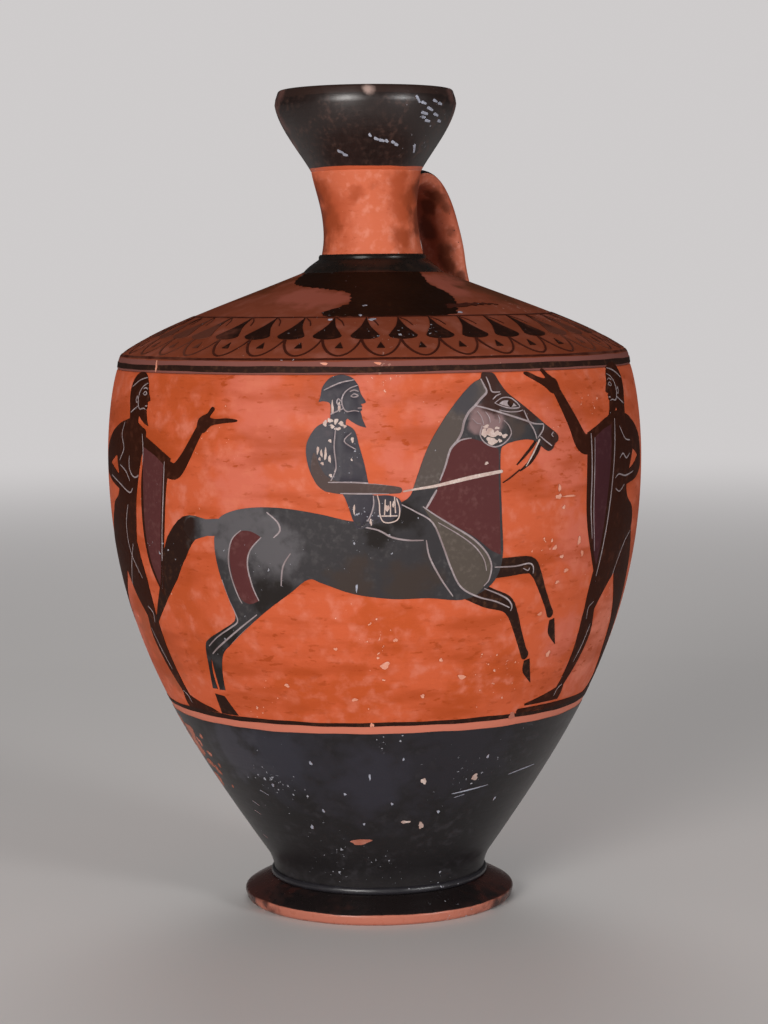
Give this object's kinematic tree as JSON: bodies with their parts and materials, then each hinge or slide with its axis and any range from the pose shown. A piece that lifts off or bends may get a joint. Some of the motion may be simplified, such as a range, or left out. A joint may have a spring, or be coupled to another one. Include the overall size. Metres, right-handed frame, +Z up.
{
  "type": "lekythos oil jar",
  "caption": "Narrow-necked clay oil jar with a cup mouth, sloping shoulder, tapering body, disc foot and a strap handle from neck to shoulder.",
  "frame": {"origin": "on the jar's turning axis, in the plane that the foot stands on", "axes": "+Z up along the turning axis, +Y through the handle, +X to the right when seen from the side without a handle"},
  "size_m": [0.1282, 0.1282, 0.195],
  "materials": {
    "foot_gloss": "worn dark slip gloss on fired clay, with a bare pinkish edge",
    "fillet_gloss": "dark slip gloss on fired clay",
    "body_clay": "burnished orange fired clay, painted in black slip with added dark red and incised lines",
    "shoulder_clay": "brown-orange fired clay with a chain of buds in dark slip",
    "collar_gloss": "black slip gloss on fired clay",
    "neck_clay": "bare burnished orange fired clay",
    "mouth_gloss": "worn black-brown slip gloss on fired clay",
    "handle_clay": "bare orange clay below, black slip gloss above"
  },
  "bodies": {
    "root": {"foot": "foot_gloss", "foot_fillet": "fillet_gloss", "body": "body_clay", "shoulder": "shoulder_clay", "neck_collar": "collar_gloss", "neck": "neck_clay", "mouth": "mouth_gloss", "handle": "handle_clay"}
  },
  "joints": []
}
